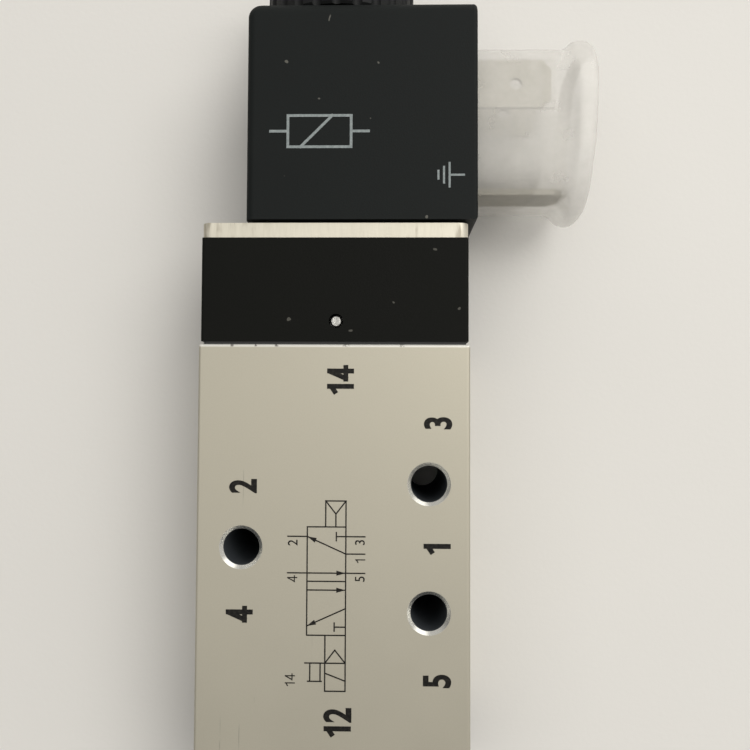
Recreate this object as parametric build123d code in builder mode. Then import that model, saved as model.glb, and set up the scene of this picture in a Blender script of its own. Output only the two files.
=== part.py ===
"""Pilot-operated 5/2 solenoid directional valve, single coil, air-spring return, body ported.

Millimetres. The valve lies on its back: Z = 0 is the back face of the body, the front face looks
up, +Y runs along the spool to the coil and +X to the electrical terminals. The origin is the
centre of the body's back face.
"""

import os
from math import cos, pi, sin

from build123d import *

os.makedirs("parts", exist_ok=True)

# Overall sizes
body_width = 34.0
body_end_margin = 9.45
body_depth = 22.0
cover_side_inset = 0.15
cover_face_inset = 0.3
pilot_length = 13.1
end_cap_length = 8.0
gasket_thickness = 0.4
plate_thickness = 1.85
edge_round = 0.35
cover_round = 0.4
plate_corner = 1.2

# Clearances
running_gap = 0.05
seat_gap = 0.03
swivel_gap = 0.1

# Ports, in the order along the spool: 3, 2, 1, 4, 5
port_pitch = 7.9
port_radius = 4.85
port_depth = 8.0
port_mouth_chamfer = 0.6
passage_radius = 2.5

# Mounting holes
mount_hole_radius = 2.25
mount_hole_chamfer = 0.45
left_hole_inset = 5.6
right_hole_inset = 5.1

# Spool and its stack of seals
spool_groove_depth = 1.4
spool_stroke = 3.4
seal_section = 2.4
stack_washer_thickness = 0.7
bore_radius = 6.5
cage_wall = 2.0
cage_window_radius = 1.1
cage_window_count = 6
outer_seal_offset = 2.6

# Pistons
pilot_piston_thickness = 2.2
pilot_piston_seal_section = 1.1
return_piston_step = 0.5
return_piston_thickness = 3.2
return_piston_seal_section = 1.0
spigot_seal_section = 1.1

# Screws
screw_side_inset = 3.55
screw_face_inset = 3.1
screw_radius = 1.45
tapped_radius = 1.5
clearance_radius = 1.65
screw_head_radius = 2.75
screw_head_height = 3.0
countersink_depth = 1.3
hex_key_radius = 1.25
housing_screw_length = 20.0
end_screw_length = 12.0

# Air drillings
supply_x = 8.0
supply_drop = 6.0
drilling_radius = 0.8
cross_radius = 0.6
plug_ball_radius = 1.0

# Operator
tube_radius = 4.5
tube_wall = 0.6
flange_radius = 6.6
flange_thickness = 1.6
tube_seal_section = 1.3
seat_radius = 1.6
seat_tip_radius = 0.7
orifice_radius = 0.5
armature_gap = 0.1
armature_length = 20.4
armature_lift = 0.75
armature_seal_radius = 1.9
armature_seal_length = 2.2
armature_pocket_radius = 2.6
armature_pocket_depth = 4.6
exhaust_seal_radius = 1.3
core_shoulder_drop = 0.7
stem_step = 0.55
stem_end_gap = 0.5

# Coil
coil_left = -11.3
coil_right = 18.0
coil_height = 28.2
coil_depth = 22.0
coil_left_round = 1.0
coil_top_round = 2.0
coil_edge_round = 0.5
coil_base_gap = 0.4
coil_bore_gap = 0.15
bobbin_wall = 0.7
bobbin_flange_radius = 8.4
bobbin_flange_thickness = 1.2
winding_radius = 7.9
yoke_back_skin = 1.3
yoke_right = 9.4
yoke_back_thickness = 1.4
yoke_plate_thickness = 2.0
yoke_width = 16.0
coil_skin = 0.6

# Terminals
blade_thickness = 0.8
blade_width = 6.3
blade_root_depth = 5.7
blade_reach = 10.2
blade_spacing = 11.0
blade_offset = 5.2
blade_hole_radius = 0.8
blade_hole_from_tip = 4.65
blade_point = 1.2
earth_offset = 8.5
earth_reach = 12.3

# Protective cap over the terminals
cap_length = 15.8
cap_height = 20.4
cap_depth = 18.6
cap_corner = 6.0
cap_wall = 0.9
cap_cavity_depth = 8.5
rim_length = 4.0
rim_height = 24.4
rim_depth = 20.8
rim_corner = 9.8
rim_round = 1.4
rim_wall = 2.3
rim_recess_depth = 2.2

# Retaining nut
nut_radius = 10.1
nut_height = 9.5
nut_rib_count = 24
nut_groove_radius = 0.75
nut_top_thickness = 1.3
nut_seal_section = 1.5
nut_seal_mid_radius = 5.6
nut_seal_well_radius = 6.8
nut_insert_radius = 5.8
nut_insert_top_gap = 1.4
nut_vent_radius = 1.5

# Manual override
override_x = 0.2
override_wall = 0.75
override_tip_radius = 0.73
override_mouth_radius = 0.9
override_bore_radius = 1.35
override_recess = 0.4
override_lip = 2.5
override_spring_space = 3.65
override_neck_radius = 0.75
override_seal_section = 0.5
override_plug_length = 2.6

# Springs
override_spring_wire = 0.28
armature_spring_wire = 0.4
spring_turns = 7

# Places worked out from the sizes
axis_height = body_depth / 2
spool_axis = Axis((0, 0, axis_height), (0, 1, 0))
body_length = 4 * port_pitch + 2 * body_end_margin
half_body = body_length / 2
cover_width = body_width - 2 * cover_side_inset
cover_depth = body_depth - 2 * cover_face_inset
cover_front = axis_height + cover_depth / 2
cover_back = axis_height - cover_depth / 2
pilot_low = half_body + gasket_thickness
pilot_high = pilot_low + pilot_length
plate_top = pilot_high + plate_thickness
cap_high = -half_body - gasket_thickness
cap_low = cap_high - end_cap_length
coil_low = plate_top + coil_base_gap
coil_high = coil_low + coil_height
coil_back = axis_height - coil_depth / 2
coil_middle = (coil_low + coil_high) / 2
nut_low = coil_high + swivel_gap
nut_high = nut_low + nut_height

port_places = {
    "3": (1, 2 * port_pitch),
    "2": (-1, port_pitch),
    "1": (1, 0.0),
    "4": (-1, -port_pitch),
    "5": (1, -2 * port_pitch),
}
left_hole_x = left_hole_inset - body_width / 2
right_hole_x = body_width / 2 - right_hole_inset
mount_hole_places = [
    (left_hole_x, 0.0),
    (right_hole_x, port_pitch),
    (right_hole_x, -port_pitch),
]
screw_x = cover_width / 2 - screw_side_inset
screw_z = cover_depth / 2 - screw_face_inset
screw_places = [(x, z) for x in (-screw_x, screw_x) for z in (-screw_z, screw_z)]
supply_z = axis_height - supply_drop

spool_radius = bore_radius - 2 * running_gap - seal_section
seal_radius = seal_section / 2
end_seal_y = 2 * port_pitch + outer_seal_offset
seal_places = [
    end_seal_y,
    1.5 * port_pitch,
    0.5 * port_pitch,
    -0.5 * port_pitch,
    -1.5 * port_pitch,
    -end_seal_y,
]
stack_end = end_seal_y + seal_radius + stack_washer_thickness


def across(y):
    """Plane across the spool axis at y. Its normal is +Y, its x is X and its y points to the back."""
    return Plane(origin=(0, y, axis_height), x_dir=(1, 0, 0), z_dir=(0, 1, 0))


def drilling_plane(start, end):
    """Plane at start whose normal points to end."""
    return Plane(origin=start, z_dir=Vector(*end) - Vector(*start))


def distance(start, end):
    """Length of a straight drilling."""
    return (Vector(*end) - Vector(*start)).length


# Body: extruded and anodised block with the spool bore, five ports and three mounting holes.
port_face = body_width / 2
with BuildPart() as valve_body:
    with BuildSketch(Plane.XY):
        Rectangle(body_width, body_length)
    extrude(amount=body_depth)
    fillet(valve_body.edges(), edge_round)
    with BuildSketch(across(-half_body)):
        Circle(bore_radius)
    extrude(amount=body_length, mode=Mode.SUBTRACT)
    for side, y in port_places.values():
        with BuildSketch(Plane.XY.offset(axis_height)):
            with BuildLine():
                Polyline(
                    (0, y),
                    (side * port_face, y),
                    (side * port_face, y + port_radius + port_mouth_chamfer),
                    (side * (port_face - port_mouth_chamfer), y + port_radius),
                    (side * (port_face - port_depth), y + port_radius),
                    (side * (port_face - port_depth), y + passage_radius),
                    (0, y + passage_radius),
                    close=True,
                )
            make_face()
        revolve(axis=Axis((0, y, axis_height), (1, 0, 0)), mode=Mode.SUBTRACT)
    with BuildSketch(Plane.XY):
        with Locations(*mount_hole_places):
            Circle(mount_hole_radius)
    extrude(amount=body_depth, mode=Mode.SUBTRACT)
    hole_rims = valve_body.edges().filter_by(GeomType.CIRCLE).filter_by(
        lambda edge: abs(edge.radius - mount_hole_radius) < 1e-6
    )
    chamfer(hole_rims, mount_hole_chamfer)
    with BuildSketch(across(half_body)):
        with Locations(*screw_places):
            Circle(tapped_radius)
    tapped_depth = housing_screw_length - plate_thickness - pilot_length - gasket_thickness + 0.6
    extrude(amount=-tapped_depth, mode=Mode.SUBTRACT)
    with BuildSketch(across(-half_body)):
        with Locations(*screw_places):
            Circle(tapped_radius)
    end_grip = end_screw_length - (end_cap_length - screw_head_height - 0.2) - gasket_thickness
    extrude(amount=end_grip + 0.6, mode=Mode.SUBTRACT)
    with BuildSketch(across(-half_body)):
        with Locations((supply_x, axis_height - supply_z)):
            Circle(drilling_radius)
    extrude(amount=body_length, mode=Mode.SUBTRACT)
    with BuildSketch(Plane.XY):
        with Locations((supply_x, 0)):
            Circle(drilling_radius)
    extrude(amount=axis_height, mode=Mode.SUBTRACT)
    with BuildSketch(Plane.XY):
        with Locations((supply_x, 0)):
            Circle(plug_ball_radius + running_gap)
    extrude(amount=2 * plug_ball_radius + 0.4, mode=Mode.SUBTRACT)
    vent_start = (bore_radius - 0.5, stack_end + 0.9, axis_height)
    vent_end = (port_face - port_depth + 1.2, 2 * port_pitch + port_radius - 1.2, axis_height)
    with BuildSketch(drilling_plane(vent_start, vent_end)):
        Circle(orifice_radius)
    extrude(amount=distance(vent_start, vent_end), mode=Mode.SUBTRACT)
valve_body.part.label = "valve_body"
export_step(valve_body.part, "parts/valve_body.step")

# Steel ball that plugs the cross drilling at the back of the body.
with BuildPart() as drilling_plug:
    with Locations((supply_x, 0, plug_ball_radius + 0.2)):
        Sphere(plug_ball_radius)
drilling_plug.part.label = "drilling_plug"
export_step(drilling_plug.part, "parts/drilling_plug.step")

# Six O-rings that stand in the bore and seal on the spool.
seal_mid_radius = bore_radius - running_gap - seal_radius
for number, y in enumerate(seal_places, 1):
    with BuildPart() as spool_seal:
        with BuildSketch(Plane.XY.offset(axis_height)):
            with Locations((seal_mid_radius, y)):
                Circle(seal_radius)
        revolve(axis=spool_axis)
    spool_seal.part.label = f"spool_seal_{number}"
    export_step(spool_seal.part, f"parts/spool_seal_{number}.step")

# Five plastic cages hold the O-rings apart, each with a ring of windows at its port.
cage_outer = bore_radius - running_gap
for (port, (side, port_y)), high_seal, low_seal in zip(
    port_places.items(), seal_places[:-1], seal_places[1:]
):
    cage_high = high_seal - seal_radius
    cage_low = low_seal + seal_radius
    with BuildPart() as port_cage:
        with BuildSketch(across(cage_low)):
            Circle(cage_outer)
            Circle(cage_outer - cage_wall, mode=Mode.SUBTRACT)
        extrude(amount=cage_high - cage_low)
        with BuildSketch(across(port_y - cage_window_radius)):
            Circle(cage_outer)
            Circle(cage_outer - cage_wall / 2, mode=Mode.SUBTRACT)
        extrude(amount=2 * cage_window_radius, mode=Mode.SUBTRACT)
        for window in range(cage_window_count):
            angle = 2 * pi * window / cage_window_count
            outward = Vector(cos(angle), 0, sin(angle))
            with BuildSketch(Plane(origin=(0, port_y, axis_height), z_dir=outward)):
                Circle(cage_window_radius)
            extrude(amount=bore_radius, mode=Mode.SUBTRACT)
    port_cage.part.label = f"port_{port}_cage"
    export_step(port_cage.part, f"parts/port_{port}_cage.step")

# A thin steel washer closes each end of the stack.
for end, direction in (("coil_end", 1), ("cap_end", -1)):
    washer_inner_face = direction * (stack_end - stack_washer_thickness)
    with BuildPart() as stack_washer:
        with BuildSketch(across(washer_inner_face)):
            Circle(cage_outer)
            Circle(spool_radius + swivel_gap, mode=Mode.SUBTRACT)
        extrude(amount=direction * stack_washer_thickness)
    stack_washer.part.label = f"{end}_stack_washer"
    export_step(stack_washer.part, f"parts/{end}_stack_washer.step")

# Spool: a turned rod whose lands cross the O-rings, pushed one stroke towards the end cap.
piston_low = stack_end + running_gap + spool_stroke
spool_high = piston_low
spool_low = -(stack_end + 1.1)
land_half = port_pitch / 2
upper_land = port_pitch + spool_stroke / 2
lower_land = upper_land - 2 * port_pitch
groove_spans = [
    (upper_land + land_half, end_seal_y - 1.0),
    (lower_land + land_half, upper_land - land_half),
    (-end_seal_y + 1.0 + spool_stroke, lower_land - land_half),
]
with BuildPart() as spool:
    with BuildSketch(across(spool_low)):
        Circle(spool_radius)
    extrude(amount=spool_high - spool_low)
    for groove_low, groove_high in groove_spans:
        with BuildSketch(across(groove_low)):
            Circle(spool_radius + 1)
            Circle(spool_radius - spool_groove_depth, mode=Mode.SUBTRACT)
        extrude(amount=groove_high - groove_low, mode=Mode.SUBTRACT)
    land_rims = spool.edges().filter_by(GeomType.CIRCLE).filter_by(
        lambda edge: abs(edge.radius - spool_radius) < 1e-6
    )
    chamfer(land_rims, 0.3)
spool.part.label = "spool"
export_step(spool.part, "parts/spool.step")

# Pilot piston: pushes the spool from the coil end. Its O-ring runs in the body bore.
piston_radius = bore_radius - running_gap
piston_high = piston_low + pilot_piston_thickness
piston_seal_mid_y = (piston_low + piston_high) / 2
piston_seal_mid_radius = piston_radius - pilot_piston_seal_section / 2
piston_groove_radius = piston_radius - pilot_piston_seal_section
with BuildPart() as pilot_piston:
    with BuildSketch(across(piston_low)):
        Circle(piston_radius - running_gap)
    extrude(amount=pilot_piston_thickness)
    with BuildSketch(across(piston_seal_mid_y)):
        Circle(piston_radius + 1)
        Circle(piston_groove_radius, mode=Mode.SUBTRACT)
    extrude(amount=pilot_piston_seal_section / 2 + 0.1, both=True, mode=Mode.SUBTRACT)
pilot_piston.part.label = "pilot_piston"
export_step(pilot_piston.part, "parts/pilot_piston.step")

with BuildPart() as pilot_piston_seal:
    with BuildSketch(Plane.XY.offset(axis_height)):
        with Locations((piston_seal_mid_radius, piston_seal_mid_y)):
            Circle(pilot_piston_seal_section / 2)
    revolve(axis=spool_axis)
pilot_piston_seal.part.label = "pilot_piston_seal"
export_step(pilot_piston_seal.part, "parts/pilot_piston_seal.step")

# Return piston: smaller, always under supply air, works in the end cap's spigot.
return_radius = spool_radius + return_piston_step
return_high = spool_low
return_low = return_high - return_piston_thickness
return_outer = return_radius - running_gap
return_seal_mid_y = (return_low + return_high) / 2
return_seal_mid_radius = return_outer - return_piston_seal_section / 2
with BuildPart() as return_piston:
    with BuildSketch(across(return_low)):
        Circle(return_outer - running_gap)
    extrude(amount=return_piston_thickness)
    with BuildSketch(across(return_seal_mid_y)):
        Circle(return_radius + 1)
        Circle(return_outer - return_piston_seal_section, mode=Mode.SUBTRACT)
    extrude(amount=return_piston_seal_section / 2 + 0.1, both=True, mode=Mode.SUBTRACT)
return_piston.part.label = "return_piston"
export_step(return_piston.part, "parts/return_piston.step")

with BuildPart() as return_piston_seal:
    with BuildSketch(Plane.XY.offset(axis_height)):
        with Locations((return_seal_mid_radius, return_seal_mid_y)):
            Circle(return_piston_seal_section / 2)
    revolve(axis=spool_axis)
return_piston_seal.part.label = "return_piston_seal"
export_step(return_piston_seal.part, "parts/return_piston_seal.step")

# Flat rubber gaskets between the body and its two covers.
chamber_radius = bore_radius + 0.1
for name, low, hole in (
    ("pilot_gasket", half_body, chamber_radius),
    ("end_gasket", cap_high, bore_radius),
):
    with BuildPart() as gasket:
        with BuildSketch(across(low)):
            RectangleRounded(cover_width - 0.6, cover_depth - 0.6, cover_round)
            Circle(hole, mode=Mode.SUBTRACT)
            with Locations(*screw_places):
                Circle(clearance_radius, mode=Mode.SUBTRACT)
            with Locations((supply_x, axis_height - supply_z)):
                Circle(drilling_radius, mode=Mode.SUBTRACT)
        extrude(amount=gasket_thickness)
    gasket.part.label = name
    export_step(gasket.part, f"parts/{name}.step")

# Pilot housing: black block between body and coil, drilled for pilot air and the override pin.
flange_low = pilot_high - flange_thickness
tube_seal_low = flange_low - tube_seal_section
pocket_low = tube_seal_low - 1.35
seat_tip_y = flange_low - 0.95
seat_shoulder_y = seat_tip_y - 0.6
seat_low = pocket_low - 2.5
cross_y = seat_low - 0.8
tube_bore_radius = tube_radius - tube_wall
pocket_radius = tube_bore_radius + 0.05
chamber_top = piston_high + 0.15
override_y = chamber_top + override_wall + override_bore_radius
override_bore_top = cover_front - override_lip
override_plug_low = cover_back + 0.2
override_plug_high = override_plug_low + override_plug_length
outlet_x = -2.9
override_outlet_z = axis_height - 5.4
override_supply_z = axis_height + 0.5
with BuildPart() as pilot_housing:
    with BuildSketch(across(pilot_low)):
        RectangleRounded(cover_width, cover_depth, cover_round)
    extrude(amount=pilot_length)
    with BuildSketch(across(pilot_low)):
        Circle(chamber_radius)
    extrude(amount=chamber_top - pilot_low, mode=Mode.SUBTRACT)
    with BuildSketch(across(pilot_low)):
        with Locations(*screw_places):
            Circle(clearance_radius)
    extrude(amount=pilot_length, mode=Mode.SUBTRACT)
    with BuildSketch(across(flange_low)):
        Circle(flange_radius + running_gap)
    extrude(amount=flange_thickness, mode=Mode.SUBTRACT)
    with BuildSketch(across(tube_seal_low)):
        Circle(flange_radius - 0.2)
        Circle(flange_radius - 0.2 - tube_seal_section - 0.1, mode=Mode.SUBTRACT)
    extrude(amount=tube_seal_section, mode=Mode.SUBTRACT)
    with BuildSketch(across(pocket_low)):
        Circle(pocket_radius)
    extrude(amount=flange_low - pocket_low, mode=Mode.SUBTRACT)
    with BuildSketch(across(seat_low)):
        Circle(seat_radius)
    extrude(amount=pocket_low - seat_low, mode=Mode.SUBTRACT)
    with BuildSketch(across(cross_y)):
        Circle(cross_radius)
    extrude(amount=seat_low - cross_y, mode=Mode.SUBTRACT)
    with BuildSketch(across(chamber_top)):
        with Locations((outlet_x, 0)):
            Circle(cross_radius)
    extrude(amount=pocket_low - chamber_top, mode=Mode.SUBTRACT)
    with BuildSketch(across(pilot_low)):
        with Locations((supply_x, axis_height - supply_z)):
            Circle(drilling_radius)
    extrude(amount=cross_y - pilot_low + drilling_radius, mode=Mode.SUBTRACT)
    cross_start = (supply_x, cross_y, supply_z)
    cross_end = (0, cross_y, axis_height)
    with BuildSketch(drilling_plane(cross_start, cross_end)):
        Circle(cross_radius)
    extrude(amount=distance(cross_start, cross_end), mode=Mode.SUBTRACT)
    with BuildSketch(Plane.XY.offset(cover_back)):
        with Locations((override_x, override_y)):
            Circle(override_bore_radius)
    extrude(amount=override_bore_top - cover_back, mode=Mode.SUBTRACT)
    with BuildSketch(Plane.XY.offset(override_bore_top)):
        with Locations((override_x, override_y)):
            Circle(override_mouth_radius)
    extrude(amount=override_lip, mode=Mode.SUBTRACT)
    feed_start = (supply_x, override_y, supply_z)
    feed_end = (override_x, override_y, override_supply_z)
    with BuildSketch(drilling_plane(feed_start, feed_end)):
        Circle(orifice_radius)
    extrude(amount=distance(feed_start, feed_end), mode=Mode.SUBTRACT)
    with BuildSketch(across(pilot_low)):
        with Locations((override_x, axis_height - override_outlet_z)):
            Circle(orifice_radius)
    extrude(amount=override_y - pilot_low, mode=Mode.SUBTRACT)
pilot_housing.part.label = "pilot_housing"
export_step(pilot_housing.part, "parts/pilot_housing.step")

# Brass pilot seat pressed into the housing; the armature closes its tip.
with BuildPart() as pilot_seat:
    with BuildSketch(across(seat_low)):
        Circle(seat_radius - 0.01)
    extrude(amount=seat_shoulder_y - seat_low)
    with BuildSketch(across(seat_shoulder_y)):
        Circle(seat_tip_radius)
    extrude(amount=seat_tip_y - seat_shoulder_y)
    with BuildSketch(across(seat_low)):
        Circle(orifice_radius)
    extrude(amount=seat_tip_y - seat_low, mode=Mode.SUBTRACT)
pilot_seat.part.label = "pilot_seat"
export_step(pilot_seat.part, "parts/pilot_seat.step")

# Bright aluminium plate that clamps the operator's flange, held by four countersunk screws.
with BuildPart() as clamp_plate:
    with BuildSketch(across(pilot_high)):
        RectangleRounded(cover_width, cover_depth, plate_corner)
        Circle(tube_radius + swivel_gap, mode=Mode.SUBTRACT)
        with Locations(*screw_places):
            Circle(clearance_radius, mode=Mode.SUBTRACT)
    extrude(amount=plate_thickness)
    for x, z in screw_places:
        with BuildSketch(Plane.XY.offset(axis_height + z)):
            with BuildLine():
                Polyline(
                    (x, plate_top),
                    (x + screw_head_radius + running_gap, plate_top),
                    (x + screw_radius + running_gap, plate_top - countersink_depth),
                    (x, plate_top - countersink_depth),
                    close=True,
                )
            make_face()
        revolve(axis=Axis((x, 0, axis_height + z), (0, 1, 0)), mode=Mode.SUBTRACT)
clamp_plate.part.label = "clamp_plate"
export_step(clamp_plate.part, "parts/clamp_plate.step")

with BuildPart() as housing_screws:
    for x, z in screw_places:
        with BuildSketch(Plane.XY.offset(axis_height + z)):
            with BuildLine():
                Polyline(
                    (x, plate_top - 0.1),
                    (x + screw_head_radius - 0.1, plate_top - 0.1),
                    (x + screw_radius, plate_top - countersink_depth),
                    (x + screw_radius, plate_top - housing_screw_length + 0.4),
                    (x + screw_radius - 0.4, plate_top - housing_screw_length),
                    (x, plate_top - housing_screw_length),
                    close=True,
                )
            make_face()
        revolve(axis=Axis((x, 0, axis_height + z), (0, 1, 0)))
    with BuildSketch(across(plate_top)):
        with Locations(*screw_places):
            RegularPolygon(1.0, 6)
    extrude(amount=-1.2, mode=Mode.SUBTRACT)
housing_screws.part.label = "housing_screws"
export_step(housing_screws.part, "parts/housing_screws.step")

# End cap with a spigot that closes the seal stack and guides the return piston.
spigot_radius = bore_radius - running_gap
spigot_high = -stack_end
spigot_seal_y = (spigot_high - half_body) / 2
spigot_seal_mid_radius = spigot_radius - spigot_seal_section / 2
return_bore_low = return_low - spool_stroke - 0.6
counterbore_depth = screw_head_height + 0.2
with BuildPart() as end_cap:
    with BuildSketch(across(cap_low)):
        RectangleRounded(cover_width, cover_depth, cover_round)
    extrude(amount=end_cap_length)
    with BuildSketch(across(cap_high)):
        Circle(spigot_radius)
    extrude(amount=spigot_high - cap_high)
    with BuildSketch(across(return_bore_low)):
        Circle(return_radius)
    extrude(amount=spigot_high - return_bore_low, mode=Mode.SUBTRACT)
    with BuildSketch(across(spigot_seal_y)):
        Circle(spigot_radius + 1)
        Circle(spigot_radius - spigot_seal_section, mode=Mode.SUBTRACT)
    extrude(amount=spigot_seal_section / 2 + 0.1, both=True, mode=Mode.SUBTRACT)
    with BuildSketch(across(cap_low)):
        with Locations(*screw_places):
            Circle(clearance_radius)
    extrude(amount=end_cap_length, mode=Mode.SUBTRACT)
    with BuildSketch(across(cap_low)):
        with Locations(*screw_places):
            Circle(screw_head_radius + 0.2)
    extrude(amount=counterbore_depth, mode=Mode.SUBTRACT)
    air_y = return_bore_low + cross_radius
    with BuildSketch(across(cap_high)):
        with Locations((supply_x, axis_height - supply_z)):
            Circle(drilling_radius)
    extrude(amount=air_y - cap_high, mode=Mode.SUBTRACT)
    air_start = (supply_x, air_y, supply_z)
    air_end = (0, air_y, axis_height)
    with BuildSketch(drilling_plane(air_start, air_end)):
        Circle(cross_radius)
    extrude(amount=distance(air_start, air_end), mode=Mode.SUBTRACT)
end_cap.part.label = "end_cap"
export_step(end_cap.part, "parts/end_cap.step")

with BuildPart() as spigot_seal:
    with BuildSketch(Plane.XY.offset(axis_height)):
        with Locations((spigot_seal_mid_radius, spigot_seal_y)):
            Circle(spigot_seal_section / 2)
    revolve(axis=spool_axis)
spigot_seal.part.label = "spigot_seal"
export_step(spigot_seal.part, "parts/spigot_seal.step")

with BuildPart() as end_screws:
    head_top = cap_low + 0.2
    with BuildSketch(across(head_top)):
        with Locations(*screw_places):
            Circle(screw_head_radius)
    extrude(amount=screw_head_height)
    with BuildSketch(across(head_top + screw_head_height)):
        with Locations(*screw_places):
            Circle(screw_radius)
    extrude(amount=end_screw_length)
    with BuildSketch(across(head_top)):
        with Locations(*screw_places):
            RegularPolygon(hex_key_radius, 6)
    extrude(amount=1.6, mode=Mode.SUBTRACT)
end_screws.part.label = "end_screws"
export_step(end_screws.part, "parts/end_screws.step")

# Operator: flanged stainless tube with the fixed core welded in its upper end.
armature_radius = tube_bore_radius - armature_gap
armature_low = seat_tip_y + 0.2
armature_high = armature_low + armature_length
core_low = armature_high + armature_lift + running_gap
tube_high = core_low + 4.4
core_shoulder = coil_high - core_shoulder_drop
stem_radius = tube_radius - stem_step
stem_high = nut_high - nut_top_thickness - stem_end_gap
with BuildPart() as operator_tube:
    with BuildSketch(across(flange_low)):
        Circle(flange_radius)
    extrude(amount=flange_thickness)
    with BuildSketch(across(pilot_high)):
        Circle(tube_radius)
    extrude(amount=tube_high - pilot_high)
    with BuildSketch(across(flange_low)):
        Circle(tube_bore_radius)
    extrude(amount=tube_high - flange_low, mode=Mode.SUBTRACT)
operator_tube.part.label = "operator_tube"
export_step(operator_tube.part, "parts/operator_tube.step")

with BuildPart() as tube_seal:
    with BuildSketch(Plane.XY.offset(axis_height)):
        tube_seal_mid_radius = flange_radius - 0.25 - tube_seal_section / 2
        with Locations((tube_seal_mid_radius, tube_seal_low + tube_seal_section / 2)):
            Circle(tube_seal_section / 2)
    revolve(axis=spool_axis)
tube_seal.part.label = "tube_seal"
export_step(tube_seal.part, "parts/tube_seal.step")

with BuildPart() as fixed_core:
    with BuildSketch(across(core_low)):
        Circle(tube_bore_radius - 0.02)
    extrude(amount=tube_high - core_low)
    with BuildSketch(across(tube_high)):
        Circle(tube_radius)
    extrude(amount=core_shoulder - tube_high)
    with BuildSketch(across(core_shoulder)):
        Circle(stem_radius)
    extrude(amount=stem_high - core_shoulder)
    with BuildSketch(across(core_low)):
        Circle(drilling_radius)
    extrude(amount=stem_high - core_low, mode=Mode.SUBTRACT)
    stem_rim = fixed_core.edges().filter_by(GeomType.CIRCLE).filter_by(
        lambda edge: abs(edge.radius - stem_radius) < 1e-6
    ).sort_by(Axis.Y)[-1]
    chamfer(stem_rim, 0.5)
fixed_core.part.label = "fixed_core"
export_step(fixed_core.part, "parts/fixed_core.step")

# Armature: slotted for air flow, with a rubber face at each end and a spring under the core.
with BuildPart() as armature:
    with BuildSketch(across(armature_low)):
        Circle(armature_radius)
        with GridLocations(2 * armature_radius, 0, 2, 1):
            Rectangle(1.2, 0.9, mode=Mode.SUBTRACT)
    extrude(amount=armature_length)
    with BuildSketch(across(armature_low)):
        Circle(armature_seal_radius)
    extrude(amount=armature_seal_length - 0.2, mode=Mode.SUBTRACT)
    with BuildSketch(across(armature_high)):
        Circle(armature_pocket_radius)
    extrude(amount=-armature_pocket_depth, mode=Mode.SUBTRACT)
    with BuildSketch(across(armature_high - armature_pocket_depth)):
        Circle(exhaust_seal_radius)
    extrude(amount=-armature_seal_length, mode=Mode.SUBTRACT)
armature.part.label = "armature"
export_step(armature.part, "parts/armature.step")

with BuildPart() as armature_seat_seal:
    with BuildSketch(across(seat_tip_y + seat_gap)):
        Circle(armature_seal_radius)
    extrude(amount=armature_seal_length - seat_gap)
armature_seat_seal.part.label = "armature_seat_seal"
export_step(armature_seat_seal.part, "parts/armature_seat_seal.step")

with BuildPart() as armature_exhaust_seal:
    with BuildSketch(across(armature_high - armature_pocket_depth - armature_seal_length)):
        Circle(exhaust_seal_radius)
    extrude(amount=armature_seal_length + armature_pocket_depth)
armature_exhaust_seal.part.label = "armature_exhaust_seal"
export_step(armature_exhaust_seal.part, "parts/armature_exhaust_seal.step")

# Armature spring: stands in the armature's top pocket and pushes on the fixed core.
armature_spring_low = armature_high - armature_pocket_depth + 0.02
armature_spring_length = core_low - 0.02 - armature_spring_low
armature_spring_mid = armature_pocket_radius - 0.25 - armature_spring_wire / 2
with BuildPart() as armature_spring:
    with BuildLine():
        coil_line = Helix(
            pitch=(armature_spring_length - armature_spring_wire) / spring_turns,
            height=armature_spring_length - armature_spring_wire,
            radius=armature_spring_mid,
            center=(0, armature_spring_low + armature_spring_wire / 2, axis_height),
            direction=(0, 1, 0),
        )
    with BuildSketch(Plane(origin=coil_line @ 0, z_dir=coil_line % 0)):
        Circle(armature_spring_wire / 2)
    sweep(path=coil_line, is_frenet=True)
armature_spring.part.label = "armature_spring"
export_step(armature_spring.part, "parts/armature_spring.step")

# Manual override: a small bright pin with two O-rings, a spring and a brass plug behind it.
pin_top = cover_front - override_recess
pin_shoulder_high = override_bore_top - running_gap
pin_shoulder_low = override_plug_high + override_spring_space
pin_outer = override_bore_radius - running_gap
override_seal_places = {
    "upper": pin_shoulder_high - 1.2,
    "lower": pin_shoulder_low + 1.2,
}
with BuildPart() as override_pin:
    with BuildSketch(Plane.XY.offset(pin_shoulder_low)):
        with Locations((override_x, override_y)):
            Circle(pin_outer)
    extrude(amount=pin_shoulder_high - pin_shoulder_low)
    with BuildSketch(Plane.XY.offset(pin_shoulder_low + 2.2)):
        with Locations((override_x, override_y)):
            Circle(override_bore_radius + 1)
            Circle(override_neck_radius, mode=Mode.SUBTRACT)
    extrude(amount=pin_shoulder_high - pin_shoulder_low - 4.4, mode=Mode.SUBTRACT)
    for height in override_seal_places.values():
        with BuildSketch(Plane.XY.offset(height)):
            with Locations((override_x, override_y)):
                Circle(override_bore_radius + 1)
                Circle(pin_outer - override_seal_section, mode=Mode.SUBTRACT)
        extrude(amount=override_seal_section / 2 + 0.05, both=True, mode=Mode.SUBTRACT)
    with BuildSketch(Plane.XY.offset(pin_shoulder_high)):
        with Locations((override_x, override_y)):
            Circle(override_tip_radius)
    extrude(amount=pin_top - pin_shoulder_high)
    tip_rim = override_pin.edges().filter_by(GeomType.CIRCLE).sort_by(Axis.Z)[-1]
    chamfer(tip_rim, 0.15)
override_pin.part.label = "override_pin"
export_step(override_pin.part, "parts/override_pin.step")

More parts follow.
